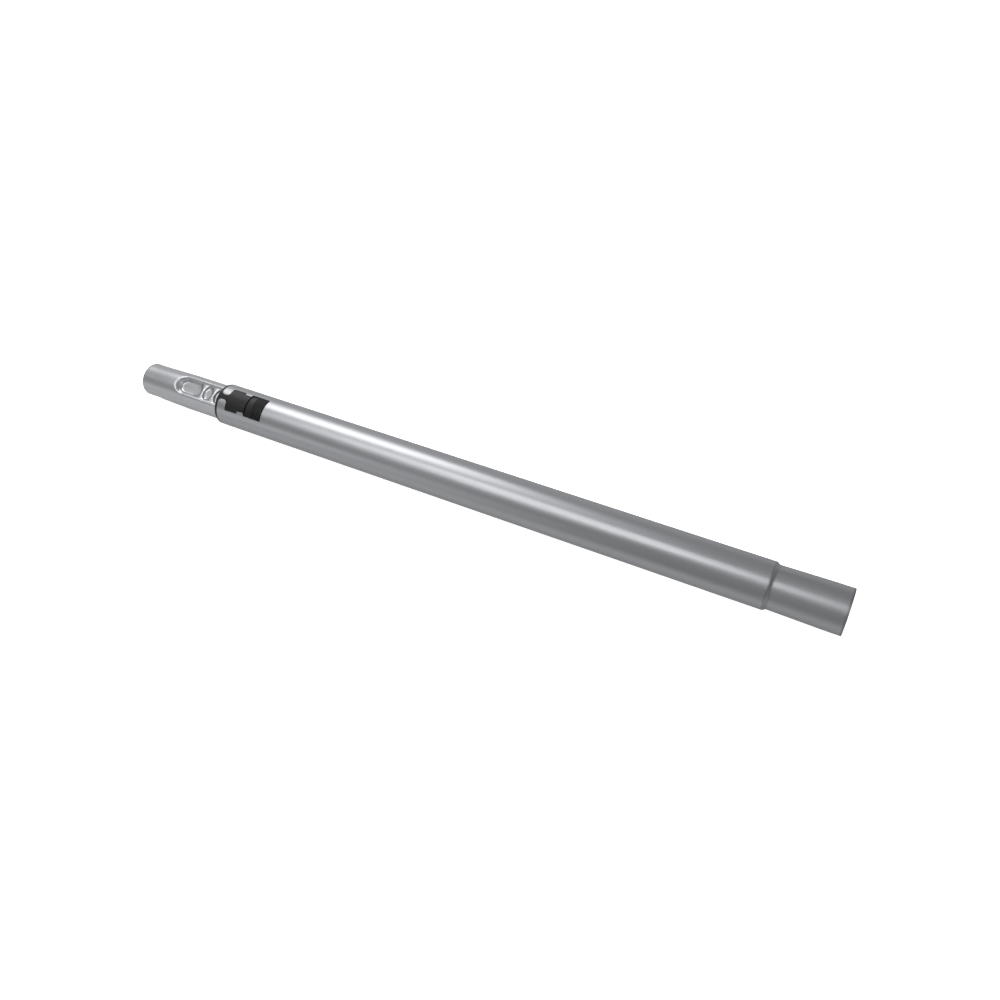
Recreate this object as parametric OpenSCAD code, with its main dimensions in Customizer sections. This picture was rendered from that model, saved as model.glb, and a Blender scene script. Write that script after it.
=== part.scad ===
/* [Tubes] */
// Outside diameter of the outer tube
outer_d = 36; // [34:0.5:40]
// Wall of both steel tubes
wall = 0.8; // [0.7:0.05:1]
// Length of the outer tube, from its mouth to the rim that the inner tube comes out of
outer_len = 534.5; // [480:0.5:600]
// Gap between the rear guide and the outer tube's shoulder when the wand is shut
tail_gap = 5.2; // [2:0.1:12]

/* [Socket end] */
// Bore of the socket at its mouth, where the hose handle pushes in
socket_d = 32.9; // [32:0.1:33.1]
// Length of the straight land at the mouth
socket_land = 12; // [8:1:20]
// Length of the reduced neck, from the mouth to the shoulder
neck_len = 51.6; // [40:0.1:60]
// How much narrower the neck's radius is at the shoulder than at the land
neck_taper = 0.7; // [0.3:0.1:1.2]
// Length of the rounded shoulder between the neck and the tube
shoulder_len = 3; // [2:0.5:8]

/* [Tip] */
// How much narrower the spigot's radius is than the inner tube's
spigot_step = 0.9; // [0.5:0.1:1.4]
// Length of the spigot's straight land
spigot_land = 10; // [8:1:14]
// Radius of the curled-in rim at the tip
tip_round = 1.6; // [1.2:0.1:2]
// Distance from the tip to where the taper meets the full tube
taper_end = 48; // [30:1:60]

/* [Detent channel] */
// Distance from the tip to the channel's lip on the crest
channel_start = 38; // [30:1:45]
// Width of the channel between its lips, on the tube's surface
channel_w = 16; // [15.6:0.1:17]
// Depth of the channel's floor below the crest of the tube
channel_depth = 3.5; // [3.3:0.1:3.6]
// Sideways lean of the channel's walls for each millimetre of height
channel_draft = 0.55; // [0.3:0.05:0.8]
// Depth of a locking pocket below the channel's floor
pocket_depth = 2; // [1.6:0.1:2.1]
// Width of a pocket across the tube
pocket_w = 13; // [11:0.1:13.4]
// Distance between neighbouring pockets
pitch = 12; // [11:0.1:13]
// Width of the ridge between two pockets, at its narrowest
ridge_w = 2.4; // [2.2:0.1:3]
// Lean of a pocket's walls for each millimetre of height
pocket_draft = 0.3; // [0.2:0.05:0.35]
// Radius of a pocket's bowed ends
pocket_bow = 8.5; // [8:0.5:12]
// Distance from the tip to the ridge that closes the long first pocket
first_ridge = 65.5; // [62:0.5:70]
// Number of the pocket that the lock rests in, counted from 0
rest_pocket = 4; // [2:1:8]

/* [Window] */
// Width of the slot that joins the window to the rim
slot_w = 4.5; // [4:0.1:6]
// Length of that slot, from the rim to the window
slot_len = 8.5; // [7:0.5:10]
// Width of the window
window_w = 20.6; // [19:0.1:22]
// Length of the window
window_len = 38; // [37:0.5:42]
// Distance from the window's front edge to the lugs
lug_start = 13; // [11:0.5:13]
// Length of a lug along the tube
lug_len = 7; // [6:0.5:8]
// How far a lug reaches into the window
lug_reach = 2.1; // [1.8:0.1:2.6]
// Radius of the rounded lobes on both sides of the slot
lobe_round = 3; // [2:0.1:3.2]
// Radius of the window's corners
window_round = 0.8; // [0.5:0.1:0.9]

/* [Guide sleeve] */
// Length of the sleeve behind the rim
sleeve_len = 59.5; // [58:0.5:60]
// Thickness of the sleeve's wall, which sets how much narrower the inner tube is
sleeve_wall = 1.45; // [1.4:0.01:1.55]
// Thickness of the flange in front of the rim
flange_t = 2.5; // [1.5:0.1:3.5]
// Radial gap between the sleeve and the inner tube that slides in it
slide_gap = 0.15; // [0.1:0.05:0.2]
// Gap between the sleeve and the outer tube that holds it
seat_gap = 0.1; // [0.05:0.01:0.15]
// Width of the rib that runs in the channel and keeps the tubes from turning
rib_w = 13.8; // [13:0.1:14]
// Gap between the rib and the channel's floor
rib_gap = 0.35; // [0.3:0.05:0.4]

/* [Release button] */
// How far the button slides to release the lock
button_travel = 6; // [5:0.5:6]
// Height of the ribs on the thumb pad
grip_h = 0.6; // [0.4:0.1:0.8]
// Number of ribs on the thumb pad
grip_count = 6; // [4:1:8]
// Gap between the button and what it slides in
button_gap = 0.1; // [0.08:0.01:0.12]
// How far the button's plate reaches past the window's sides
plate_edge = 1.5; // [1:0.1:2]
// How far the plate stays under the metal or the sleeve at both ends of the button's travel
plate_lap = 0.65; // [0.5:0.05:0.8]
// Gap that is left at both ends of the button's travel
stop_gap = 0.3; // [0.2:0.05:0.4]

/* [Lock] */
// Distance from the lugs' rear edge back to the middle of the lock block
lock_back = 1.5; // [1:0.1:2]
// Length of the lock block along the tube
lock_len = 4; // [3.6:0.1:4.4]
// Width of the lock block
lock_w = 7.2; // [6.8:0.1:7.4]
// Gap between the lock block and its guide, the ramp and the pocket's floor
lock_gap = 0.1; // [0.08:0.01:0.15]
// Height of the locked block's top above the channel's floor
lock_top = 2; // [1.9:0.1:2.1]
// Wire of the button's return spring
wire_d = 0.45; // [0.35:0.05:0.5]
// Outside diameter of the return spring
spring_d = 3.2; // [2.8:0.1:3.4]
// Turns of the return spring
spring_turns = 7; // [6:1:8]
// Length of the return spring while the button is slid right forward
spring_len = 7; // [6:0.5:8]

/* [Rear guide] */
// Length of the guide ring on the inner tube's rear end
guide_len = 52; // [48:0.5:56]
// Thickness of the ring's collar behind the tube's cut end
collar_t = 1.2; // [1:0.1:2]
// Diameter of the pips that hold the ring in the tube
pip_d = 4.6; // [4:0.1:6]

/* [Hidden] */

steel = [0.66, 0.66, 0.67];
plastic = [0.1, 0.1, 0.1];
metal = [0.5, 0.5, 0.52];

fine = 96;
arc_steps = 6;
far = 60;
outer_r = outer_d / 2;
bore_r = outer_r - wall;
sleeve_out = bore_r - seat_gap;
sleeve_in = sleeve_out - sleeve_wall;
inner_r = sleeve_in - slide_gap;
spigot_r = inner_r - spigot_step;
socket_r = socket_d / 2;

// Heights above the wand's axis inside the channel, on the crest side
channel_z = inner_r - channel_depth;
pocket_z = channel_z - pocket_depth;
lip_z = sqrt(inner_r * inner_r - channel_w * channel_w / 4);
floor_w = channel_w - 2 * channel_draft * (lip_z - channel_z);

// Places along the wand, which runs from its mouth at 0 towards -X
rim_x = -outer_len;
window_x = rim_x + slot_len;
lug_x = window_x + lug_start;
lug_end = lug_x + lug_len;
window_end = window_x + window_len;
sleeve_end = rim_x + sleeve_len;
lock_x = lug_end + lock_back;
pocket_0 = first_ridge + pitch / 2;
tip_x = lock_x - pocket_0 - rest_pocket * pitch;
channel_x = tip_x + channel_start + channel_w / 2 + channel_draft * (inner_r - lip_z);
shut_x = channel_x + rest_pocket * pitch;
tail_x = -neck_len - shoulder_len - tail_gap - collar_t - rest_pocket * pitch;

// As many pockets as keep the rear guide behind the sleeve at full reach
last_pocket_x = tail_x - guide_len - (sleeve_end - lock_x);
pocket_count = 1 + floor((last_pocket_x - tip_x - pocket_0) / pitch);

// Radii of the button's plate between the two tubes, and of the sleeve's skin over it
plate_in = sleeve_in + button_gap;
plate_out = bore_r - seat_gap - button_gap / 2;
skin_in = plate_out + button_gap;
skin_out = outer_r - seat_gap / 2;

// The button at rest, with its pad at the window's rear edge
side_gap = 2 * button_gap;
pad_x = lug_end + button_travel + stop_gap;
pad_len = window_end - stop_gap - pad_x;
pad_w = window_w - 2 * side_gap;
plate_w = window_w + 2 * plate_edge;
plate_x = lug_end - plate_lap;
plate_end = window_end + button_travel + plate_lap;

// The lock block, its guide slot and the ramp that the button carries over it
lift = pocket_depth;
slope = lift / button_travel;
block_z = channel_z + lock_top;
ramp_z = block_z + lock_gap;
nose_r = lock_len / 2;
nose_z = pocket_z + 2.5 * lock_gap + nose_r;
slot_half = lock_len / 2 + lock_gap;
cavity_w = lock_w + 3 * lock_gap;
finger_w = 3.8;
finger_front = 5.5;
finger_z = ramp_z - slope * (slot_half + lock_gap);
groove_w = finger_w + 2 * side_gap;
groove_z = finger_z - 1.5 * button_gap;
groove_top = skin_in - 0.25;
groove_x = lock_x - finger_front - button_travel - spring_len;
groove_end = lock_x + (plate_in - ramp_z) / slope + side_gap;
spring_z = groove_z + spring_d / 2 + side_gap;

function arc(c, r, a, b) =
    [for (i = [0:arc_steps]) let (t = a + (b - a) * i / arc_steps) c + r * [cos(t), sin(t)]];
function flipped(p) = [for (i = [len(p) - 1:-1:0]) [p[i].x, -p[i].y]];

// A solid of revolution about the wand's axis, from points [radius, place]
module turned(points) rotate([0, 90, 0]) rotate_extrude($fn = fine) polygon(points);

// A tube between two radii
module ring(r_in, r_out, x0, x1)
    turned([[r_in, x0], [r_out, x0], [r_out, x1], [r_in, x1]]);

// A straight bar along the wand, from points [across, up]
module bar(x0, x1, points)
    translate([x0, 0, 0]) rotate([90, 0, 90]) linear_extrude(x1 - x0) polygon(points);

// A box along the wand, centred across it
module block(x0, x1, w, z0, z1) translate([x0, -w / 2, z0]) cube([x1 - x0, w, z1 - z0]);

// One side of the window's outline, inside the edge of the metal by the gap
function window_side(gap) = let (
    slot = slot_w / 2, side = window_w / 2, in = side - window_round, lug = side - lug_reach,
    convex = lobe_round + gap, tight = window_round + gap, concave = window_round - gap
) concat(
    [[rim_x - far, slot + lobe_round]],
    arc([rim_x + lobe_round, slot + lobe_round], convex, 180, 270),
    arc([window_x - lobe_round, slot + lobe_round], convex, 270, 360),
    arc([window_x + window_round, in], concave, 180, 90),
    arc([lug_x - window_round, in], concave, 90, 0),
    arc([lug_x + window_round, lug + window_round], tight, 180, 270),
    arc([lug_end - window_round, lug + window_round], tight, 270, 360),
    arc([lug_end + window_round, in], concave, 180, 90),
    arc([window_end - window_round, in], concave, 90, 0)
);

// The window as a punch that comes down through the crest
module window_punch(gap)
    linear_extrude(far) polygon(concat(window_side(gap), flipped(window_side(gap))));

module outer_tube() {
    neck_r = socket_r - neck_taper;
    steps = 8;
    shoulder = [for (i = [0:steps])
        [(bore_r + neck_r) / 2 + (bore_r - neck_r) / 2 * cos(180 * i / steps),
         -neck_len - shoulder_len + shoulder_len * i / steps]];
    inside = concat([[bore_r, rim_x]], shoulder, [[socket_r, -socket_land], [socket_r, 0]]);
    outside = [for (i = [len(inside) - 1:-1:0]) inside[i] + [wall, 0]];
    color(steel) difference() {
        turned(concat(inside, outside));
        window_punch(0);
    }
}

// A trough with leaning walls and a round front end, in a sheet of thickness t
module trough(x0, x1, z, w, draft, top, t) {
    side = t * (sqrt(1 + draft * draft) - draft);
    low = w / 2 + side;
    high = low + draft * (top - z + t);
    bar(x0, x1, [[-low, z - t], [low, z - t], [high, top], [-high, top]]);
    translate([x0, 0, z - t]) cylinder(h = top - z + t, r1 = low, r2 = high, $fn = fine);
}

// A cone whose radius is r at the channel's floor, to bow the end of a pocket
module bow(x, r, t) {
    side = t * (sqrt(1 + pocket_draft * pocket_draft) - pocket_draft);
    low = r - pocket_draft * pocket_depth + side;
    translate([x, 0, pocket_z - t])
        cylinder(h = pocket_depth + 1 + t, r1 = low, r2 = low + pocket_draft * (pocket_depth + 1 + t),
                 $fn = fine);
}

module pocket_bar(x0, x1, t) {
    side = t * (sqrt(1 + pocket_draft * pocket_draft) - pocket_draft);
    low = pocket_w / 2 - pocket_draft * pocket_depth + side;
    high = low + pocket_draft * (pocket_depth + 1 + t);
    bar(x0, x1, [[-low, pocket_z - t], [low, pocket_z - t],
                 [high, channel_z + 1], [-high, channel_z + 1]]);
}

// What the press pushes in: the channel, its long first pocket and the row of pockets
module pressing(t) {
    first_end = tip_x + first_ridge - ridge_w / 2;
    half = (pitch - ridge_w) / 2;
    trough(channel_x, tail_x + 1, channel_z, floor_w, channel_draft, inner_r + 1, t);
    bow(channel_x, pocket_w / 2, t);
    pocket_bar(channel_x, first_end - pocket_bow, t);
    intersection() {
        pocket_bar(channel_x, first_end + pitch, t);
        bow(first_end - pocket_bow, pocket_bow, t);
    }
    for (i = [0:pocket_count - 1]) {
        x = tip_x + pocket_0 + i * pitch;
        intersection() {
            pocket_bar(x - pitch, x + pitch, t);
            bow(x - half + pocket_bow, pocket_bow, t);
            bow(x + half - pocket_bow, pocket_bow, t);
        }
    }
}

module inner_tube() {
    curl = [tip_round, spigot_r - tip_round];
    rim = [for (p = arc([0, 0], 1, 180, 90)) p];
    outside = concat([for (p = rim) [curl.y + tip_round * p.y, tip_x + curl.x + tip_round * p.x]],
        [[spigot_r, tip_x + tip_round + spigot_land], [inner_r, tip_x + taper_end], [inner_r, tail_x]]);
    hole = tip_round - wall;
    inside = concat([[curl.y, tip_x - 1]],
        [for (p = rim) [curl.y + hole * p.y, tip_x + curl.x + hole * p.x]],
        [[spigot_r - wall, tip_x + tip_round + spigot_land], [inner_r - wall, tip_x + taper_end],
         [inner_r - wall, tail_x + 1]]);
    color(steel) difference() {
        turned(concat([[0, tip_x]], outside, [[0, tail_x]]));
        pressing(0);
        difference() {
            turned(concat([[0, tip_x - 1]], inside, [[0, tail_x + 1]]));
            pressing(wall);
        }
        pips(pip_d + 0.4, inner_r + 1);
    }
}

// A pin across the wand near the inner tube's rear end
module pips(d, reach)
    translate([tail_x - guide_len / 2, 0, 0]) rotate([90, 0, 0])
        cylinder(h = 2 * reach, d = d, center = true, $fn = 48);

module rear_guide() {
    r_in = inner_r + 0.05;
    r_out = bore_r - slide_gap;
    front = tail_x - guide_len;
    back = tail_x + collar_t;
    color(plastic) difference() {
        union() {
            turned([[r_in, front], [r_out - 0.6, front], [r_out, front + 1], [r_out, front + 4],
                    [r_out - 0.4, front + 5], [r_out - 0.4, tail_x - 4], [r_out, tail_x - 3],
                    [r_out, back - 0.5], [r_out - 0.5, back], [inner_r - wall, back],
                    [inner_r - wall, tail_x + 0.05], [r_in, tail_x + 0.05]]);
            difference() {
                pips(pip_d, inner_r + 0.4);
                turned([[0, front - 1], [inner_r - wall, front - 1], [inner_r - wall, back + 1],
                        [0, back + 1]]);
            }
        }
        block(front - 1, back + 1, channel_w + 1, 0, far);
    }
}

module guide_sleeve() {
    front = rim_x - flange_t;
    round = 1;
    edge = [for (p = arc([0, 0], round, 180, 90)) [outer_r - round + p.y, front + round + p.x]];
    color(plastic) difference() {
        union() {
            turned(concat([[sleeve_in + 0.4, front]], edge,
                [[outer_r, rim_x], [sleeve_out, rim_x], [sleeve_out, sleeve_end - 0.6],
                 [sleeve_out - 0.6, sleeve_end], [sleeve_in, sleeve_end], [sleeve_in, front + 0.4]]));
            boss();
            rib();
        }
        plate_room();
        block(groove_x, groove_end, groove_w, groove_z, groove_top);
        block(lock_x - slot_half, lock_x + slot_half, cavity_w, 0, inner_r + 0.4);
    }
}

// The rib in the channel, whose round front clears the channel's end on the shut wand
module rib()
    intersection() {
        ring(channel_z, sleeve_in + 0.5, rim_x - flange_t + 0.4, sleeve_end);
        union() {
            block(shut_x, sleeve_end, rib_w, channel_z + rib_gap, far);
            translate([shut_x, 0, channel_z + rib_gap]) cylinder(h = far, d = rib_w, $fn = fine);
        }
    }

// The raised part of the sleeve that fills the slot and the window's front half
module boss()
    intersection() {
        ring(sleeve_in + 0.2, skin_out, rim_x - 0.5, lug_end - seat_gap);
        window_punch(seat_gap);
    }

// The room for the button's plate between the sleeve's rib and the outer tube
module plate_room()
    intersection() {
        ring(sleeve_in - 0.03, skin_in, plate_x - button_travel - stop_gap, plate_end + stop_gap);
        block(rim_x, 0, plate_w + 2 * side_gap, 0, far);
    }

module release_button() {
    color(plastic) difference() {
        union() {
            intersection() {
                ring(plate_in, plate_out, plate_x, plate_end);
                block(rim_x, 0, plate_w, 0, far);
            }
            pad();
            intersection() {
                ring(0, plate_out - 0.6, lock_x - finger_front, pad_x + 1);
                block(rim_x, 0, finger_w, finger_z, far);
            }
        }
        ramp_cavity();
    }
}

// The thumb pad, with rounded ribs across it
module pad() {
    step = pad_len / grip_count;
    r = outer_r - side_gap / 2;
    ribs = [for (i = [0:grip_count - 1], a = [0:1:arc_steps])
        [r + grip_h * sin(180 * a / arc_steps),
         pad_x + step * (i + 0.5) - step * 0.35 * cos(180 * a / arc_steps)]];
    intersection() {
        turned(concat([[plate_in + 0.3, pad_x], [r, pad_x]], ribs,
            [[r, pad_x + pad_len], [plate_in + 0.3, pad_x + pad_len]]));
        linear_extrude(far) polygon(pad_outline());
    }
}

function pad_outline() = let (r = window_round, x1 = pad_x + pad_len, w = pad_w / 2) concat(
    arc([pad_x + r, w - r], r, 180, 90), arc([x1 - r, w - r], r, 90, 0),
    arc([x1 - r, r - w], r, 0, -90), arc([pad_x + r, r - w], r, 270, 180));

// The space over the lock block, whose roof is the ramp that lets the block rise
module ramp_cavity() {
    back = slot_half + lock_gap;
    front = back + button_travel;
    translate([lock_x, cavity_w / 2, 0]) rotate([90, 0, 0]) linear_extrude(cavity_w)
        polygon([[-back, 0], [front, 0], [front, ramp_z + slope * front], [-back, ramp_z - slope * back]]);
}

// A block with a rounded nose in the pocket and a top that leans as the ramp does
module lock_block() {
    half = lock_len / 2;
    color(metal) translate([lock_x, lock_w / 2, 0]) rotate([90, 0, 0]) union() {
        intersection() {
            translate([0, nose_z, 0]) cylinder(h = lock_w, r = nose_r, $fn = fine);
            cube([lock_len, 2 * nose_z, 2 * lock_w], center = true);
        }
        linear_extrude(lock_w) polygon([[-half, nose_z], [half, nose_z],
            [half, block_z + slope * half], [-half, block_z - slope * half]]);
    }
}

module return_spring() {
    r = (spring_d - wire_d) / 2;
    x0 = groove_x + wire_d / 2 + 0.05;
    length = lock_x - finger_front - groove_x - wire_d - 0.1;
    sides = 6;
    per_turn = 16;
    steps = spring_turns * per_turn;
    points = [for (i = [0:steps], k = [0:sides - 1])
        let (a = 360 * i / per_turn, b = 360 * k / sides, q = r + wire_d / 2 * cos(b))
        [x0 + length * i / steps + wire_d / 2 * sin(b), q * cos(a), spring_z + q * sin(a)]];
    walls = [for (i = [0:steps - 1], k = [0:sides - 1]) let (n = (k + 1) % sides)
        [i * sides + k, i * sides + n, (i + 1) * sides + n, (i + 1) * sides + k]];
    caps = [[for (k = [sides - 1:-1:0]) k], [for (k = [0:sides - 1]) steps * sides + k]];
    color(metal) polyhedron(points, concat(walls, caps));
}

outer_tube();
guide_sleeve();
release_button();
lock_block();
return_spring();
inner_tube();
rear_guide();
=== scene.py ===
import math

import bmesh
import bpy
import numpy as np
from bpy.props import FloatProperty, FloatVectorProperty, IntProperty, PointerProperty
from bpy.types import Operator, Panel, PropertyGroup
from mathutils import Matrix, Vector


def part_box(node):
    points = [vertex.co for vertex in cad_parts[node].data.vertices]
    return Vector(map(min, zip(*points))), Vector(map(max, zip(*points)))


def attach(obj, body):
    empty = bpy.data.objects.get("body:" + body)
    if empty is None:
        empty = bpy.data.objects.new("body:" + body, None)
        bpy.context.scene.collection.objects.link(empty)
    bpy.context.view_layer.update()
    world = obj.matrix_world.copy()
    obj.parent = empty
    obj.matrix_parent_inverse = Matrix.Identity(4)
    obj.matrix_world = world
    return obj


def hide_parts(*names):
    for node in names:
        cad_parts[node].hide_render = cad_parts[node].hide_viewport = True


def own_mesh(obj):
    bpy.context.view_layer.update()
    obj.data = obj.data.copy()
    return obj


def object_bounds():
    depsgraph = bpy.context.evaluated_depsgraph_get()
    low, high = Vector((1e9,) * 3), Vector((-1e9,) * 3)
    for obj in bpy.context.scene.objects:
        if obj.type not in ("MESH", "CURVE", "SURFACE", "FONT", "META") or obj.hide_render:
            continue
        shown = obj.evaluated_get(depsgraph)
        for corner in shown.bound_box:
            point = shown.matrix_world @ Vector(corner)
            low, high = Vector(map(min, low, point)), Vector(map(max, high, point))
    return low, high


bl_info = {
    "name": "Telescopic Vacuum Wand",
    "version": (1, 0, 0),
    "blender": (4, 5, 0),
    "location": "View3D > Sidebar > Wand",
    "description": "Dresses a telescopic vacuum cleaner wand: its two steel tubes, latch and photo stage",
    "category": "Object",
}

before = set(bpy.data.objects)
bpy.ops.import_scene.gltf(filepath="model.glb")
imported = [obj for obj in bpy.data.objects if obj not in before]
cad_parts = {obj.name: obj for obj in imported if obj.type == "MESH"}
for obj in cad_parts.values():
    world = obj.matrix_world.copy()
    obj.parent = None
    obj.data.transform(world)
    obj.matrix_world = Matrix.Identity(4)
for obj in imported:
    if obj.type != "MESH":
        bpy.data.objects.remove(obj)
CAD_BOX = [list(corner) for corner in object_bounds()]
MM = 0.001
IMAGE_PX = 1000
SENSOR_MM = 36.0

RIM_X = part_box("outer_tube")[0].x / MM
MOUTH_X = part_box("outer_tube")[1].x / MM
TIP_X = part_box("inner_tube")[0].x / MM
TAIL_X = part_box("inner_tube")[1].x / MM
FLOOR_Z = CAD_BOX[0][2]


# Settings

def length(name, text, default, **more):
    """A size in millimetres for the sidebar."""
    return FloatProperty(name=name, description=text, default=default, min=0, precision=3, **more)


def colour(name, text, code):
    """A colour for the sidebar, from an sRGB hex code."""
    return FloatVectorProperty(name=name, description=text, subtype="COLOR", size=3, min=0, max=1,
                               default=linear(code))


def linear(code):
    """Turns an sRGB hex code to linear red, green and blue."""
    parts = [int(code[i:i + 2], 16) / 255 for i in (1, 3, 5)]
    return [p / 12.92 if p <= 0.04045 else ((p + 0.055) / 1.055) ** 2.4 for p in parts]


class WandTubes(PropertyGroup):
    """Sizes of the two steel tubes, in millimetres."""

    outer_radius: length("Outer tube radius", "Outside radius of the outer tube", 17.99)
    inner_radius: length("Inner tube radius", "Outside radius of the inner tube", 15.5)
    wall: length("Wall", "Wall of both tubes", 0.8)
    edge: length("Edge rounding", "Radius on the tubes' cut edges", 0.3)
    socket_radius: length("Socket radius", "Bore radius of the hose socket at its mouth", 16.45)
    socket_land: length("Socket land", "Length of the socket's straight land", 12.0)
    neck_length: length("Neck length", "Length of the reduced neck", 51.6)
    neck_taper: length("Neck taper", "How much narrower the neck is at the shoulder", 0.7)
    shoulder: length("Shoulder", "Length of the rounded shoulder", 3.0)
    spigot_radius: length("Spigot radius", "Outside radius of the tip", 14.6)
    spigot_land: length("Spigot land", "Length of the tip's straight land", 10.0)
    tip_round: length("Tip rounding", "Radius of the curled-in rim", 1.6)
    taper_end: length("Taper end", "Distance from the tip to the full tube", 48.0)


class WandPressing(PropertyGroup):
    """Sizes of the channel and pockets pressed into the inner tube, in millimetres."""

    start: length("Start", "Distance from the tip to the channel's lip", 38.0)
    width: length("Width", "Width of the channel between its lips", 16.0)
    depth: length("Depth", "Depth of the channel's floor below the crest", 3.5)
    draft: length("Draft", "Lean of the channel's walls", 0.55)
    pocket_depth: length("Pocket depth", "Depth of a pocket below the channel's floor", 2.0)
    pocket_width: length("Pocket width", "Width of a pocket", 13.0)
    pocket_draft: length("Pocket draft", "Lean of a pocket's walls", 0.55)
    bow: length("Bow", "Radius of a pocket's bowed ends", 8.5)
    pitch: length("Pitch", "Distance between neighbouring pockets", 12.0)
    ridge: length("Ridge", "Width of a ridge at its narrowest", 2.4)
    first_ridge: length("First ridge", "Distance from the tip to the first ridge", 65.5)
    pockets: IntProperty(name="Pockets", description="Pockets behind the long first one",
                         default=31, min=1)
    lip_round: length("Lip rounding", "Height over which the bent lip is rounded", 3.0)
    pocket_round: length("Pocket rounding", "Height over which a pocket's edge is rounded", 1.3)


class WandWindow(PropertyGroup):
    """Sizes of the slot and window punched in the outer tube, in millimetres."""

    slot_width: length("Slot width", "Width of the slot at the rim", 4.5)
    slot_length: length("Slot length", "Length of the slot", 8.5)
    width: length("Width", "Width of the window", 20.6)
    size: length("Length", "Length of the window", 38.0)
    lug_start: length("Lug start", "Distance from the window's front edge to the lugs", 13.0)
    lug_length: length("Lug length", "Length of a lug", 7.0)
    lug_reach: length("Lug reach", "How far a lug reaches into the window", 2.1)
    lobe: length("Lobe rounding", "Radius of the lobes beside the slot", 3.0)
    corner: length("Corner rounding", "Radius of the window's corners", 0.8)


class WandSpring(PropertyGroup):
    """Sizes of the button's return spring, in millimetres."""

    wire: length("Wire", "Thickness of the spring's wire", 0.45)
    turns: IntProperty(name="Turns", description="Turns of wire, with the closed ones at its ends",
                       default=7, min=3)
    pressed: length("Pressed length", "Length of the spring when the button is at its limit", 6.9)


class WandFinish(PropertyGroup):
    """Colours and gloss of the wand's materials."""

    steel: colour("Steel", "Satin plated steel", "#6b6c6e")
    pale_steel: colour("Inner steel", "Plated steel of the inner tube, a little paler", "#77787a")
    steel_rough: FloatProperty(name="Steel roughness", description="Gloss of the tubes",
                               default=0.4, min=0, max=1)
    plastic: colour("Plastic", "Black moulded plastic", "#0a0a0b")
    plastic_rough: FloatProperty(name="Plastic roughness", description="Gloss of the latch",
                                 default=0.45, min=0, max=1)
    guide: colour("Guide plastic", "Smooth acetal of the rear guide", "#121213")
    lock: colour("Lock steel", "Oiled steel of the lock block", "#8f8f90")
    wire: colour("Wire", "Drawn spring wire", "#85868a")


class WandStage(PropertyGroup):
    """Camera, lamps and floor of the photograph."""

    focal_px: FloatProperty(name="Focal length", description="In pixels of the photograph",
                            default=909.0)
    distance: FloatProperty(name="Distance", description="From the camera to the wand's axis",
                            default=0.6653, unit="LENGTH", precision=4)
    foot: FloatProperty(name="Nearest place", description="Where the axis is nearest to the camera",
                        default=-0.0193, unit="LENGTH", precision=4)
    height: FloatProperty(name="Height angle", description="Camera's angle above the floor",
                          default=math.radians(75), subtype="ANGLE")
    foot_px: FloatVectorProperty(name="Nearest place in the photograph", size=2,
                                 description="Its pixel", default=(820.15, 602.75))
    vanish_px: FloatVectorProperty(name="Vanishing point", size=2,
                                   description="Pixel that the wand's tip points to",
                                   default=(-1827.5, -287.6))
    floor: colour("Floor", "Pale floor", "#ffffff")
    floor_glow: FloatProperty(name="Floor glow", description="How much of the floor's white is its own",
                              default=0.9, min=0, max=1)
    sky: FloatProperty(name="Sky", description="Strength of the white surround", default=0.3, min=0)
    top: FloatProperty(name="Top lamp", description="Power of the long lamp overhead",
                       default=8.2, min=0, unit="POWER")
    far: FloatProperty(name="Far lamp", description="Power of the lamp behind the tip",
                       default=10.4, min=0, unit="POWER")
    near: FloatProperty(name="Near lamp", description="Power of the low lamp before the tip",
                        default=2.0, min=0, unit="POWER")
    mouth: FloatProperty(name="Mouth lamp", description="Power of the lamp above the mouth",
                         default=0.8, min=0, unit="POWER")


# Surfaces

class Skin:
    """Gathers grids of points, in millimetres, and joins them to one closed mesh."""

    def __init__(self):
        self.points, self.faces, self.count = [], [], 0

    def add(self, x, r, phi, around=False, closed=False):
        """Adds a grid of places x, radii r and angles phi about the wand's axis, 0 on the crest.

        Point = (x, r sin phi, r cos phi). around joins the last column to the first, and closed
        joins the last row to the first."""
        x, r, phi = np.broadcast_arrays(x, r, phi)
        self.grid(np.stack([x, r * np.sin(phi), r * np.cos(phi)], -1), around, closed)

    def grid(self, points, around=False, closed=False):
        """Adds a grid of points, rows by columns, as quads."""
        rows, columns = points.shape[:2]
        index = np.arange(rows * columns).reshape(rows, columns) + self.count
        if around:
            index = np.concatenate([index, index[:, :1]], 1)
        if closed:
            index = np.concatenate([index, index[:1]], 0)
        quads = np.stack([index[:-1, :-1], index[1:, :-1], index[1:, 1:], index[:-1, 1:]], -1)
        self.points.append(points.reshape(-1, 3))
        self.faces.append(quads.reshape(-1, 4))
        self.count += rows * columns

    def piece(self, name):
        """Makes the mesh: doubles are merged, slivers dissolved and normals turned outwards."""
        mesh = bpy.data.meshes.new(name)
        mesh.from_pydata(np.concatenate(self.points) * MM, [], np.concatenate(self.faces))
        work = bmesh.new()
        work.from_mesh(mesh)
        bmesh.ops.remove_doubles(work, verts=work.verts, dist=1e-3 * MM)
        bmesh.ops.dissolve_degenerate(work, edges=work.edges, dist=1e-3 * MM)
        bmesh.ops.recalc_face_normals(work, faces=work.faces)
        work.to_mesh(mesh)
        work.free()
        mesh.shade_smooth()
        piece = bpy.data.objects.new(name, mesh)
        bpy.context.scene.collection.objects.link(piece)
        return piece


def arc(centre, radius, start, end, steps=8):
    """Points on an arc between two angles in degrees."""
    turn = np.radians(np.linspace(start, end, steps + 1))
    return np.stack([centre[0] + radius * np.cos(turn), centre[1] + radius * np.sin(turn)], 1)


def along(points):
    """Length along a path up to each of its points."""
    return np.concatenate([[0], np.cumsum(np.linalg.norm(np.diff(points, axis=0), axis=1))])


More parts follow.
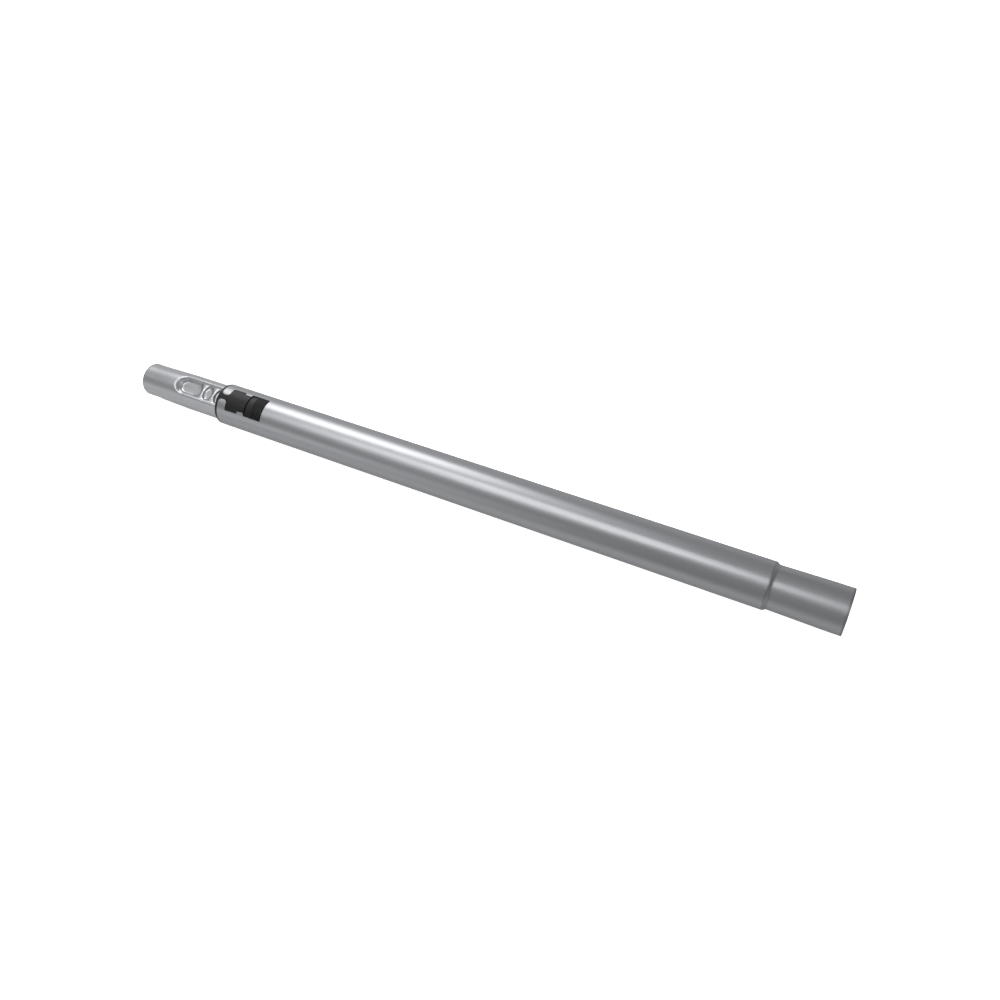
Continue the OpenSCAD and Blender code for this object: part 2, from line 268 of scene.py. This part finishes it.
def smooth_min(a, b, k):
    """The lower of two heights, with the corner between them rounded over a height k."""
    h = np.clip(1 - np.abs(a - b) / k, 0, 1)
    return np.minimum(a, b) - h * h * k / 4


def smooth_max(a, b, k):
    """The higher of two heights, with the corner rounded over a height k."""
    return -smooth_min(-a, -b, k)


# Outer tube

def window_edge(t, w):
    """One side of the free edge: along the rim, round a lobe, up the slot and round the window.

    It returns the points (x, y) seen from above, the unit normals that point into the metal, and
    the share of the way: 0 at the start on the rim, 1 at the window's front corner, 2 at its
    rear corner, 3 on the crest behind it."""
    slot, side = w.slot_width / 2, w.width / 2
    front = RIM_X + w.slot_length
    back = front + w.size
    lug = front + w.lug_start
    lug_end = lug + w.lug_length
    inset, top, c = side - w.corner, side - w.lug_reach + w.corner, w.corner
    start = t.outer_radius * math.sin(BAND / t.outer_radius)
    tongue = np.concatenate([
        [[RIM_X, start]],
        arc((RIM_X + w.lobe, slot + w.lobe), w.lobe, 180, 270),
        arc((front - w.lobe, slot + w.lobe), w.lobe, 270, 360),
        [[front, inset]],
    ])
    flank = np.concatenate([
        arc((front + c, inset), c, 180, 90, 5)[1:], arc((lug - c, inset), c, 90, 0, 5),
        arc((lug + c, top), c, 180, 270, 5), arc((lug_end - c, top), c, 270, 360, 5),
        arc((lug_end + c, inset), c, 180, 90, 5), arc((back - c, inset), c, 90, 0, 5),
    ])
    corners = np.concatenate([tongue, flank, [[back, 0.0]]])
    run = along(corners)
    marks = run[[0, len(tongue) - 1, len(tongue) + len(flank) - 1, -1]]
    fine = np.union1d(run, np.arange(0, run[-1], 0.9))
    fine = fine[np.append(True, np.diff(fine) > 1e-4)]
    fine[-1] = run[-1]
    path = np.stack([np.interp(fine, run, corners[:, i]) for i in (0, 1)], 1)
    tangent = np.gradient(path, fine, axis=0)
    tangent /= np.linalg.norm(tangent, axis=1, keepdims=True)
    tangent[0], tangent[-1] = (0, -1), (0, -1)
    normal = np.stack([-tangent[:, 1], tangent[:, 0]], 1)
    return path, normal, np.interp(fine, marks, [0, 1, 2, 3])


# Arc length from the crest to where the band round the window joins the plain tube
BAND = 14.5
# How far behind the window the band ends
BAND_BACK = 4.0
BAND_STEPS = 9
# Distance over which the cut edge turns from a radial wall, as at the rim, to an upright one
TURN = 4.0


def outer_tube_skin(t, w):
    """The outer tube's wall: a band round the slot and window, the plain front and the rest.

    The band is ruled between the free edge and a frame round it: point = (1 - v) frame(u) +
    v edge(u), in place and angle. The cut edge is rounded: at turn a, its offset into the metal is
    e (1 - sin a) and its depth below the skin is e (1 - cos a)."""
    skin = Skin()
    radius, bore, e = t.outer_radius, t.outer_radius - t.wall, t.edge
    edge, normal, share = window_edge(t, w)
    back = RIM_X + w.slot_length + w.size + BAND_BACK
    band_angle = BAND / radius
    frame_x = np.interp(share, [0, 1, 2, 3], [RIM_X + e, RIM_X + w.slot_length - 0.4, back, back])
    frame_phi = np.interp(share, [0, 1, 2, 3], [band_angle, band_angle, band_angle, 0])
    upright = np.clip((edge[0, 1] - edge[:, 1]) / TURN, 0, 1)

    turn = np.linspace(0, math.pi / 2, 5)
    offset = np.concatenate([e * (1 - np.sin(turn)), e * (1 - np.sin(turn[::-1]))])
    depth = np.concatenate([e * (1 - np.cos(turn)), t.wall - e * (1 - np.cos(turn[::-1]))])
    cut = edge[:, None, :] + normal[:, None, :] * offset[None, :, None]
    cut_r = radius - depth[None, :]
    across = np.minimum(cut[..., 1], radius * math.sin(band_angle))
    plain = np.arcsin(across / radius)
    cut_phi = plain + (np.arcsin(across / cut_r) - plain) * upright[:, None]

    v = np.linspace(0, 1, BAND_STEPS)[None, :]
    for side in (1, -1):
        outside_x = frame_x[:, None] * (1 - v) + cut[:, :1, 0] * v
        outside_phi = frame_phi[:, None] * (1 - v) + cut_phi[:, :1] * v
        inside_x = frame_x[:, None] * v + cut[:, -1:, 0] * (1 - v)
        inside_phi = frame_phi[:, None] * v + cut_phi[:, -1:] * (1 - v)
        skin.add(outside_x, radius, side * outside_phi)
        skin.add(cut[..., 0], cut_r, side * cut_phi)
        skin.add(inside_x, bore, side * inside_phi)

    columns = np.linspace(band_angle, 2 * math.pi - band_angle, 88)
    places = frame_x[share <= 2][::-1]
    rim_x = np.concatenate([places, RIM_X + offset, places[::-1]])
    rim_r = np.concatenate([np.full(len(places), radius), radius - depth, np.full(len(places), bore)])
    skin.add(rim_x[:, None], rim_r[:, None], columns[None, :])

    crest = frame_phi[share >= 2]
    ring = np.concatenate([columns, -crest[1:], crest[::-1][1:-1]])
    x, r = rear_profile(t, back)
    skin.add(x[:, None], r[:, None], ring[None, :], around=True)
    return skin.piece("outer_tube_skin")


def rear_profile(t, start):
    """The outline from behind the window to the mouth and back inside: the shoulder falls by a
    cosine from the tube to the neck, the neck flares in a straight line to the socket's land."""
    radius, e = t.outer_radius, t.edge
    land = t.socket_radius + t.wall
    neck = land - t.neck_taper
    foot = -t.neck_length - t.shoulder
    wave = np.linspace(0, 1, 17)
    fall_x = foot + t.shoulder * wave
    fall = (radius + neck) / 2 + (radius - neck) / 2 * np.cos(math.pi * wave)
    tube_x = np.append(np.linspace(start, foot - 4, 24), foot - 0.6)
    neck_x = np.array([-t.neck_length + 0.6, -t.neck_length + 4, -30, -t.socket_land - 0.5,
                       -t.socket_land + 0.5, -4])
    neck_r = np.interp(neck_x, [-t.neck_length, -t.socket_land], [neck, land])
    turn = np.linspace(0, math.pi / 2, 5)
    x = np.concatenate([tube_x, fall_x, neck_x])
    r = np.concatenate([np.full(len(tube_x), radius), fall, neck_r])
    lip_x = MOUTH_X - e * (1 - np.sin(turn))
    lip_r = land - e * (1 - np.cos(turn))
    inner_lip = t.socket_radius + e * (1 - np.cos(turn[::-1]))
    return (np.concatenate([x, lip_x, lip_x[::-1], x[::-1]]),
            np.concatenate([r, lip_r, inner_lip, r[::-1] - t.wall]))


# Inner tube

# Half width of the strip on the crest that holds the pressing, and its columns' distances from the
# middle, closest over the walls and the lip
CREST_HALF = 9.6
CREST_COLUMNS = (0, 1.6, 3.1, 4.4, 5.2, 5.6, 5.85, 6.1, 6.35, 6.6, 6.85, 7.1, 7.35, 7.6, 7.85, 8.1,
                 8.4, 8.8, CREST_HALF)
# Columns round one side of the tube below the strip
ROUND_COLUMNS = 28
# Distances of the rows from a pocket wall's top edge, on the outer and the inner face
OUTER_ROWS = (-2.3, -1.75, -1.35, -1.0, -0.7, -0.4, -0.1, 0.3)
INNER_ROWS = (-1.2, -0.4)
# Depth of a channel corner's rounding
FLOOR_ROUND = 0.9
# A height above the tube, for places with no pressing
CLEAR = 99


def pressed(x, y, p, t, sheet):
    """Height of the pressing at (x, y), or far above the tube where there is none.

    Channel = a floor and walls that rise by 1 / draft outside the floor's outline, which is a
    half-circle in front and straight behind. Pockets are cut into its floor in the same way, and
    their ends bow outwards. sheet is 0 on the outer face and the wall's thickness inside."""
    floor = t.inner_radius - p.depth
    lip = math.sqrt(t.inner_radius ** 2 - p.width ** 2 / 4)
    half = p.width / 2 - p.draft * (lip - floor)
    start = TIP_X + p.start + p.width / 2 + p.draft * (t.inner_radius - lip)
    grow = sheet * (math.hypot(1, p.draft) - p.draft)
    ahead = np.minimum(x - start, 0)
    outside = np.hypot(ahead, y) - half - grow
    channel = smooth_max(floor - sheet, floor - sheet + outside / p.draft, FLOOR_ROUND)

    grow = sheet * (math.hypot(1, p.pocket_draft) - p.pocket_draft)
    low = p.pocket_draft * p.pocket_depth - grow
    beside = np.abs(y) - p.pocket_width / 2 + low
    gap = (p.pitch - p.ridge) / 2
    first = TIP_X + p.first_ridge
    number = np.clip(np.floor((x - first) / p.pitch), 0, p.pockets - 1)
    middle = first + (number + 0.5) * p.pitch
    behind = np.hypot(np.abs(x - middle) - gap + p.bow, y) - p.bow + low
    bowed = np.hypot(x - first + p.ridge / 2 + p.bow, y) - p.bow + low
    rounded = np.hypot(ahead, y) - p.pocket_width / 2 + low
    long_one = np.where(x > first - 2 * p.bow + gap, np.maximum(bowed, beside), rounded)
    outline = np.where(x < first, long_one, np.maximum(behind, beside))
    bottom = floor - sheet - p.pocket_depth
    pocket = smooth_max(bottom, bottom + outline / p.pocket_draft, p.pocket_round)
    return smooth_min(channel, pocket, p.pocket_round)


def tube_rows(t, p, steps):
    """Places of the rows of points along the inner tube, and how far each follows a pocket's bow.

    Rows are closest on the pockets' walls: steps are their distances from a wall's top edge. A row
    further than 1 mm from a wall follows its bow less, so that it stays clear of the next row."""
    steps = np.array(steps)
    ridges = TIP_X + p.first_ridge + p.pitch * np.arange(p.pockets + 1)
    before = ridges[:, None] - p.ridge / 2 + steps[None, :]
    after = ridges[:, None] + p.ridge / 2 - steps[None, ::-1]
    middle = ridges[:, None] + p.pitch / 2
    x = np.concatenate([before, ridges[:, None], after, middle], 1).ravel()
    follow = np.interp(-steps, [1.0, 2.3], [1.0, 0.7]) + 0 * before
    flat = np.zeros_like(middle)
    bow = np.concatenate([follow, flat, -follow[:, ::-1], flat], 1).ravel()
    plain = x < ridges[-1] + p.pitch / 2
    front = np.concatenate([
        [t.tip_round + 2, t.tip_round + t.spigot_land - 0.5, t.tip_round + t.spigot_land + 0.5,
         20, 28, p.start - 2],
        np.arange(p.start - 0.8, p.start + p.width - 1, 0.4 if len(steps) > 3 else 1.2),
        np.arange(p.start + p.width, p.first_ridge - p.bow, 2.2)]) + TIP_X
    rear = np.array([TAIL_X - 38, TAIL_X - 34, TAIL_X - 12, TAIL_X - 1])
    x = np.concatenate([front, x[plain], rear])
    bow = np.concatenate([0 * front, bow[plain], 0 * rear])
    keep = x < TAIL_X - 0.5
    return x[keep], bow[keep]


def inner_tube_skin(t, p):
    """The inner tube's wall: both faces are one grid that goes from the tail along the bore to the
    curled tip and back along the outside.

    Height = smooth lower of the round tube and the pressing. Rows bow with the pockets' ends, by
    the fall of an arc of the bow's radius at the column's distance from the crest."""
    near = np.arcsin(np.array(CREST_COLUMNS) / t.inner_radius)
    far = np.linspace(near[-1], math.pi, ROUND_COLUMNS)[1:]
    half = np.concatenate([near, far])
    phi = np.concatenate([half, -half[1:-1][::-1]])[None, :]
    curl = np.linspace(0, math.pi / 2, 8)

    faces = []
    for sheet, steps in ((0.0, OUTER_ROWS), (t.wall, INNER_ROWS)):
        x, bow = tube_rows(t, p, steps)
        tip_r = t.tip_round - sheet
        rim_x = TIP_X + t.tip_round - tip_r * np.cos(curl)
        rim_r = t.spigot_radius - t.tip_round + tip_r * np.sin(curl)
        body_r = np.interp(x - TIP_X, [t.tip_round + t.spigot_land, t.taper_end],
                           [t.spigot_radius, t.inner_radius]) - sheet
        x = np.concatenate([rim_x, x, [TAIL_X]])[:, None]
        bow = np.concatenate([0 * rim_x, bow, [0]])[:, None]
        r = np.concatenate([rim_r, body_r, [t.inner_radius - sheet]])[:, None]
        y = r * np.sin(phi)
        reach = np.minimum(np.abs(y), p.pocket_width / 2)
        x = x + bow * (np.sqrt(p.bow ** 2 - reach ** 2) - p.bow)
        round_z = r * np.cos(phi)
        on_crest = (np.abs(y) < CREST_HALF + 1) & (round_z > 0)
        press = np.where(on_crest, pressed(x, y, p, t, sheet), CLEAR)
        z = smooth_min(round_z, press, p.lip_round)
        faces.append(np.stack([x, y, z], -1))
    skin = Skin()
    skin.grid(np.concatenate([faces[1][::-1], faces[0]]), around=True, closed=True)
    return skin.piece("inner_tube_skin")


# Return spring

# Steps round one turn of wire
COIL_STEPS = 24


def spring_coil(p):
    """The spring's wire: a circle carried along a helix, with one closed turn at each end.

    At turn a and place b round the wire, point = (s(a) + w sin b, q cos a, q sin a) from the
    spring's end, where q = coil radius + w cos b. s grows by a wire's thickness over each end turn
    and evenly between. The wire's radius w falls to 0 at both ends, which closes them."""
    low, high = (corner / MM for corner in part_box("return_spring"))
    radius = (high.y - low.y - p.wire) / 2
    middle = (low.z + high.z) / 2
    steps = p.turns * COIL_STEPS
    turn = np.linspace(0, p.turns, steps + 1)
    span = high.x - low.x - p.wire
    place = np.interp(turn, [0, 1, p.turns - 1, p.turns], [0, p.wire, span - p.wire, span])
    turn, place = (np.concatenate([v[:1], v, v[-1:]])[:, None] for v in (turn, place))
    wire = np.full_like(turn, p.wire / 2)
    wire[[0, -1]] = 0
    b = np.linspace(0, 2 * math.pi, 10, endpoint=False)[None, :]
    q = radius + wire * np.cos(b)
    a = 2 * math.pi * turn
    skin = Skin()
    skin.grid(np.stack([low.x + p.wire / 2 + place + wire * np.sin(b), q * np.cos(a),
                        middle + q * np.sin(a)], -1), around=True)
    return skin.piece("spring_coil")


# Materials

# Noise keeps mostly to this range
NOISE = {"From_Min": 0.3, "From_Max": 0.7}


def node(tree, kind, links=(), **values):
    """Adds a node: values set its options or its sockets, links join its sockets to others."""
    made = tree.nodes.new(kind)
    for name, value in values.items():
        if hasattr(made, name):
            setattr(made, name, value)
        else:
            made.inputs[name.replace("_", " ")].default_value = value
    for name, source in dict(links).items():
        tree.links.new(source, made.inputs[name])
    return made


def new_material(name):
    """An empty node material and its output."""
    made = bpy.data.materials.new(name)
    made.use_nodes = True
    made.node_tree.nodes.clear()
    return made, made.node_tree, made.node_tree.nodes.new("ShaderNodeOutputMaterial")


def satin_plated_steel(name, tone, roughness, painted_shade_bands=()):
    """Satin chrome plated steel tube: polished along its length, then plated, so it is a soft
    mirror with very fine lines along the tube and faint bands where the polishing belt ran.

    The last argument lists places along the tube, in mm, each with its half width and its share of the
    tone: there the tone is darkened by that share as painted shade, which stands in for the shade that
    falls on the outer tube's shoulder and mouth rim."""
    made, tree, out = new_material(name)
    place = node(tree, "ShaderNodeTexCoord").outputs["Object"]
    # Polishing lines about 0.25 mm apart and 60 mm long; real ones are finer and would not show
    grain_map = node(tree, "ShaderNodeMapping", {"Vector": place}, Scale=(16, 4000, 4000))
    grain = node(tree, "ShaderNodeTexNoise", {"Vector": grain_map.outputs[0]}, Scale=1.0, Detail=3.0)
    # Belt bands some 6 mm wide and 250 mm long
    band_map = node(tree, "ShaderNodeMapping", {"Vector": place}, Scale=(4, 170, 170))
    band = node(tree, "ShaderNodeTexNoise", {"Vector": band_map.outputs[0]}, Scale=1.0, Detail=2.0)
    rough = node(tree, "ShaderNodeMapRange", {"Value": band.outputs["Fac"]},
                 **NOISE, To_Min=roughness - 0.04, To_Max=roughness + 0.05)
    bump = node(tree, "ShaderNodeBump", {"Height": grain.outputs["Fac"]}, Strength=0.12,
                Distance=0.00002)
    shade = node(tree, "ShaderNodeMapRange", {"Value": band.outputs["Fac"]},
                 **NOISE, To_Min=0.97, To_Max=1.03)
    where = node(tree, "ShaderNodeSeparateXYZ", {"Vector": place})
    # Painted shade: each listed band darkens the tone where shade falls on the shoulder and the mouth's
    # rim
    for middle, half_width, share in painted_shade_bands:
        off = node(tree, "ShaderNodeMath", {0: where.outputs["X"]}, operation="SUBTRACT")
        off.inputs[1].default_value = middle * MM
        off = node(tree, "ShaderNodeMath", {0: off.outputs[0]}, operation="ABSOLUTE")
        painted_shade = node(tree, "ShaderNodeMapRange", {"Value": off.outputs[0]},
                    interpolation_type="SMOOTHSTEP", From_Min=(half_width - 0.7) * MM,
                    From_Max=(half_width + 0.7) * MM, To_Min=share, To_Max=1.0)
        shade = node(tree, "ShaderNodeMath", {0: shade.outputs[0], 1: painted_shade.outputs[0]},
                     operation="MULTIPLY")
    toned = node(tree, "ShaderNodeVectorMath", {"Scale": shade.outputs[0]}, operation="SCALE")
    toned.inputs[0].default_value = tone
    # Chromium reflects less just before grazing angles, which darkens the tube's outline
    shader = node(tree, "ShaderNodeBsdfPrincipled",
                  {"Base Color": toned.outputs[0], "Roughness": rough.outputs[0],
                   "Normal": bump.outputs[0]},
                  Metallic=1.0, Specular_Tint=(0.5, 0.5, 0.5, 1))
    tree.links.new(shader.outputs[0], out.inputs["Surface"])
    return made


def moulded_plastic(name, tone, roughness, depth):
    """Black plastic from a mould. ABS from a spark-eroded tool has a fine even grain that breaks up
    its highlights, and acetal from a plain tool is smoother and glossier. depth is the grain's, in
    mm. The matt face takes away most of the plastic's gloss, so its specular level is low."""
    made, tree, out = new_material(name)
    place = node(tree, "ShaderNodeTexCoord").outputs["Object"]
    # Eroded pits about 0.25 mm across
    grain = node(tree, "ShaderNodeTexNoise", {"Vector": place}, Scale=4000.0, Detail=2.0)
    # Moulded edges come out with a radius of about 0.15 mm
    round_edge = node(tree, "ShaderNodeBevel", samples=4, Radius=0.00015)
    bump = node(tree, "ShaderNodeBump",
                {"Height": grain.outputs["Fac"], "Normal": round_edge.outputs[0]},
                Strength=0.25, Distance=depth * MM)
    rough = node(tree, "ShaderNodeMapRange", {"Value": grain.outputs["Fac"]},
                 **NOISE, To_Min=roughness - 0.05, To_Max=roughness + 0.08)
    shader = node(tree, "ShaderNodeBsdfPrincipled",
                  {"Roughness": rough.outputs[0], "Normal": bump.outputs[0]},
                  Base_Color=(*tone, 1), IOR=1.53, Specular_IOR_Level=0.11)
    tree.links.new(shader.outputs[0], out.inputs["Surface"])
    return made


def plain_steel(name, tone, roughness, grain_mm):
    """Bare steel with a faint uneven polish: an oiled block or a drawn wire."""
    made, tree, out = new_material(name)
    place = node(tree, "ShaderNodeTexCoord").outputs["Object"]
    mark = node(tree, "ShaderNodeTexNoise", {"Vector": place}, Scale=1 / (grain_mm * MM), Detail=3.0)
    rough = node(tree, "ShaderNodeMapRange", {"Value": mark.outputs["Fac"]},
                 **NOISE, To_Min=roughness - 0.06, To_Max=roughness + 0.08)
    shader = node(tree, "ShaderNodeBsdfPrincipled", {"Roughness": rough.outputs[0]},
                  Base_Color=(*tone, 1), Metallic=1.0)
    tree.links.new(shader.outputs[0], out.inputs["Surface"])
    return made


def dress(name, material):
    """Gives a piece of the frame its material."""
    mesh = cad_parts[name].data
    mesh.materials.clear()
    mesh.materials.append(material)


# Pieces

class WAND_OT_outer_tube(Operator):
    """Makes the outer tube with its punched window, rounded shoulder and hose socket"""

    bl_idname = "wand.outer_tube"
    bl_label = "Outer tube"

    def execute(self, context):
        scene = context.scene
        piece = outer_tube_skin(scene.wand_tubes, scene.wand_window)
        finish = scene.wand_finish
        # Middle, half width and share of the tone of each band of painted shade, at the mouth's rim and
        # at the shoulder
        tubes = scene.wand_tubes
        painted_shade_bands = ((MOUTH_X, 1.4, 0.64), (-tubes.neck_length - tubes.shoulder / 2, 1.9, 0.8))
        piece.data.materials.append(satin_plated_steel(
            "satin_chrome_plated_steel", finish.steel, finish.steel_rough, painted_shade_bands))
        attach(piece, "wand_body")
        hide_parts("outer_tube")
        return {"FINISHED"}


class WAND_OT_inner_tube(Operator):
    """Makes the inner tube with its curled tip, pressed channel and pockets"""

    bl_idname = "wand.inner_tube"
    bl_label = "Inner tube"

    def execute(self, context):
        scene = context.scene
        piece = inner_tube_skin(scene.wand_tubes, scene.wand_pressing)
        finish = scene.wand_finish
        piece.data.materials.append(
            satin_plated_steel("pale_chrome_plated_steel", finish.pale_steel, finish.steel_rough))
        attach(piece, "extension")
        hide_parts("inner_tube")
        return {"FINISHED"}


class WAND_OT_latch(Operator):
    """Finishes the guide sleeve, release button and rear guide in black moulded plastic"""

    bl_idname = "wand.latch"
    bl_label = "Latch"

    def execute(self, context):
        finish = context.scene.wand_finish
        eroded = moulded_plastic("spark_eroded_black_abs", finish.plastic, finish.plastic_rough, 0.03)
        smooth = moulded_plastic("smooth_black_acetal", finish.guide, finish.plastic_rough - 0.1,
                                 0.01)
        dress("guide_sleeve", eroded)
        dress("release_button", eroded)
        dress("rear_guide", smooth)
        return {"FINISHED"}


class WAND_OT_lock(Operator):
    """Finishes the hidden lock block and its return spring in steel"""

    bl_idname = "wand.lock"
    bl_label = "Lock and spring"

    def execute(self, context):
        finish = context.scene.wand_finish
        dress("lock_block", plain_steel("oiled_lock_steel", finish.lock, 0.3, 1.5))
        spring = context.scene.wand_spring
        piece = spring_coil(spring)
        piece.data.materials.append(plain_steel("drawn_spring_wire", finish.wire, 0.25, 0.3))
        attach(piece, "wand_body")
        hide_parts("return_spring")
        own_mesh(piece)
        return {"FINISHED"}


# Stage

# Half of the floor's side, in metres, and how much of its colour comes back from the lamps
FLOOR_HALF = 3.0
FLOOR_SHADE = 0.8


def photo_camera(s):
    """Places the camera so that the wand's axis has its nearest place and its vanishing point at
    the photograph's pixels: two directions known in both frames give the turn."""
    middle = IMAGE_PX / 2
    tip_way = Vector((s.vanish_px[0] - middle, middle - s.vanish_px[1], -s.focal_px)).normalized()
    foot_way = Vector((s.foot_px[0] - middle, middle - s.foot_px[1], -s.focal_px)).normalized()
    along_x = -tip_way
    to_camera = (-foot_way - along_x * along_x.dot(-foot_way)).normalized()
    seen = Matrix((along_x, to_camera, along_x.cross(to_camera))).transposed()
    up = Vector((0, -math.cos(s.height), math.sin(s.height)))
    real = Matrix((Vector((1, 0, 0)), up, Vector((1, 0, 0)).cross(up))).transposed()
    turn = (real @ seen.inverted()).to_4x4()
    data = bpy.data.cameras.new("photo_camera")
    data.sensor_width = SENSOR_MM
    data.lens = s.focal_px / IMAGE_PX * SENSOR_MM
    data.clip_start, data.clip_end = 0.01, 20
    camera = bpy.data.objects.new("photo_camera", data)
    camera.matrix_world = Matrix.Translation(Vector((s.foot, 0, 0)) + up * s.distance) @ turn
    bpy.context.scene.collection.objects.link(camera)
    bpy.context.scene.camera = camera


def lamp(name, power, size, place, aim):
    """A soft rectangular lamp that faces a place on the wand, its first side along the wand."""
    data = bpy.data.lights.new(name, "AREA")
    data.shape = "RECTANGLE"
    data.size, data.size_y = size
    data.energy = power
    made = bpy.data.objects.new(name, data)
    back = (Vector(place) - Vector((aim, 0, 0))).normalized()
    side = (Vector((1, 0, 0)) - back * back.x).normalized()
    turn = Matrix((side, back.cross(side), back)).transposed().to_4x4()
    made.matrix_world = Matrix.Translation(place) @ turn
    bpy.context.scene.collection.objects.link(made)


def studio_white(tree, strength):
    """Strength 1 for what the camera, mirrors and glass see, and less for the light that falls."""
    path = node(tree, "ShaderNodeLightPath")
    seen = node(tree, "ShaderNodeMath", {0: path.outputs["Is Camera Ray"],
                                         1: path.outputs["Is Glossy Ray"]}, operation="MAXIMUM")
    seen = node(tree, "ShaderNodeMath", {0: seen.outputs[0], 1: path.outputs["Is Transmission Ray"]},
                operation="MAXIMUM")
    return node(tree, "ShaderNodeMapRange", {"Value": seen.outputs[0]}, To_Min=strength,
                To_Max=1.0).outputs[0]


class WAND_OT_stage(Operator):
    """Sets up the photograph's camera, soft lamps, white surround and floor"""

    bl_idname = "wand.stage"
    bl_label = "Stage"

    def execute(self, context):
        s = context.scene.wand_stage
        context.scene.view_settings.view_transform = "Standard"
        photo_camera(s)

        world = bpy.data.worlds.new("white_surround")
        world.use_nodes = True
        tree = world.node_tree
        tree.nodes.clear()
        back = node(tree, "ShaderNodeBackground", {"Strength": studio_white(tree, s.sky)},
                    Color=(1, 1, 1, 1))
        out = tree.nodes.new("ShaderNodeOutputWorld")
        tree.links.new(back.outputs[0], out.inputs["Surface"])
        context.scene.world = world

        mesh = bpy.data.meshes.new("floor")
        h = FLOOR_HALF
        mesh.from_pydata([(-h, -h, FLOOR_Z), (h, -h, FLOOR_Z), (h, h, FLOOR_Z), (-h, h, FLOOR_Z)],
                         [], [(0, 1, 2, 3)])
        floor = bpy.data.objects.new("floor", mesh)
        context.scene.collection.objects.link(floor)
        made, tree, out = new_material("white_floor")
        lit = node(tree, "ShaderNodeBsdfDiffuse", Color=(*(c * FLOOR_SHADE for c in s.floor), 1))
        glow = node(tree, "ShaderNodeEmission", {"Strength": studio_white(tree, 0.0)},
                    Color=(*(c * s.floor_glow for c in s.floor), 1))
        both = node(tree, "ShaderNodeAddShader", {0: lit.outputs[0], 1: glow.outputs[0]})
        tree.links.new(both.outputs[0], out.inputs["Surface"])
        mesh.materials.append(made)

        # Each lamp's size, place and aim, in metres
        lamp("top_lamp", s.top, (0.9, 0.3), (-0.6, 0, 0.9), -0.6)
        lamp("far_lamp", s.far, (0.5, 0.5), (-0.9, 0.67, 0.6), -0.35)
        lamp("near_lamp", s.near, (0.8, 0.4), (-1.0, -0.85, 0.31), -0.35)
        lamp("mouth_lamp", s.mouth, (0.35, 0.35), (0.14, -0.06, 0.62), -0.3)
        return {"FINISHED"}


class WAND_PT_sidebar(Panel):
    """Lists the wand's settings and steps"""

    bl_idname = "WAND_PT_sidebar"
    bl_label = "Telescopic wand"
    bl_space_type = "VIEW_3D"
    bl_region_type = "UI"
    bl_category = "Wand"

    def draw(self, context):
        for group in (name for name, _ in GROUPS):
            box = self.layout.box()
            settings = getattr(context.scene, group)
            for key in settings.bl_rna.properties.keys():
                if key not in ("rna_type", "name"):
                    box.prop(settings, key)
        for operator in STEPS:
            self.layout.operator(operator.bl_idname)


GROUPS = (("wand_tubes", WandTubes), ("wand_pressing", WandPressing), ("wand_window", WandWindow),
          ("wand_spring", WandSpring), ("wand_finish", WandFinish), ("wand_stage", WandStage))
STEPS = (WAND_OT_outer_tube, WAND_OT_inner_tube, WAND_OT_latch, WAND_OT_lock, WAND_OT_stage)


def register():
    for name, group in GROUPS:
        bpy.utils.register_class(group)
        setattr(bpy.types.Scene, name, PointerProperty(type=group))
    for made in (*STEPS, WAND_PT_sidebar):
        bpy.utils.register_class(made)


def unregister():
    for made in (WAND_PT_sidebar, *reversed(STEPS)):
        bpy.utils.unregister_class(made)
    for name, group in reversed(GROUPS):
        delattr(bpy.types.Scene, name)
        bpy.utils.unregister_class(group)


def main():
    register()
    bpy.ops.wand.outer_tube()
    bpy.ops.wand.inner_tube()
    bpy.ops.wand.latch()
    bpy.ops.wand.lock()
    bpy.ops.wand.stage()


if __name__ == "__main__":
    main()
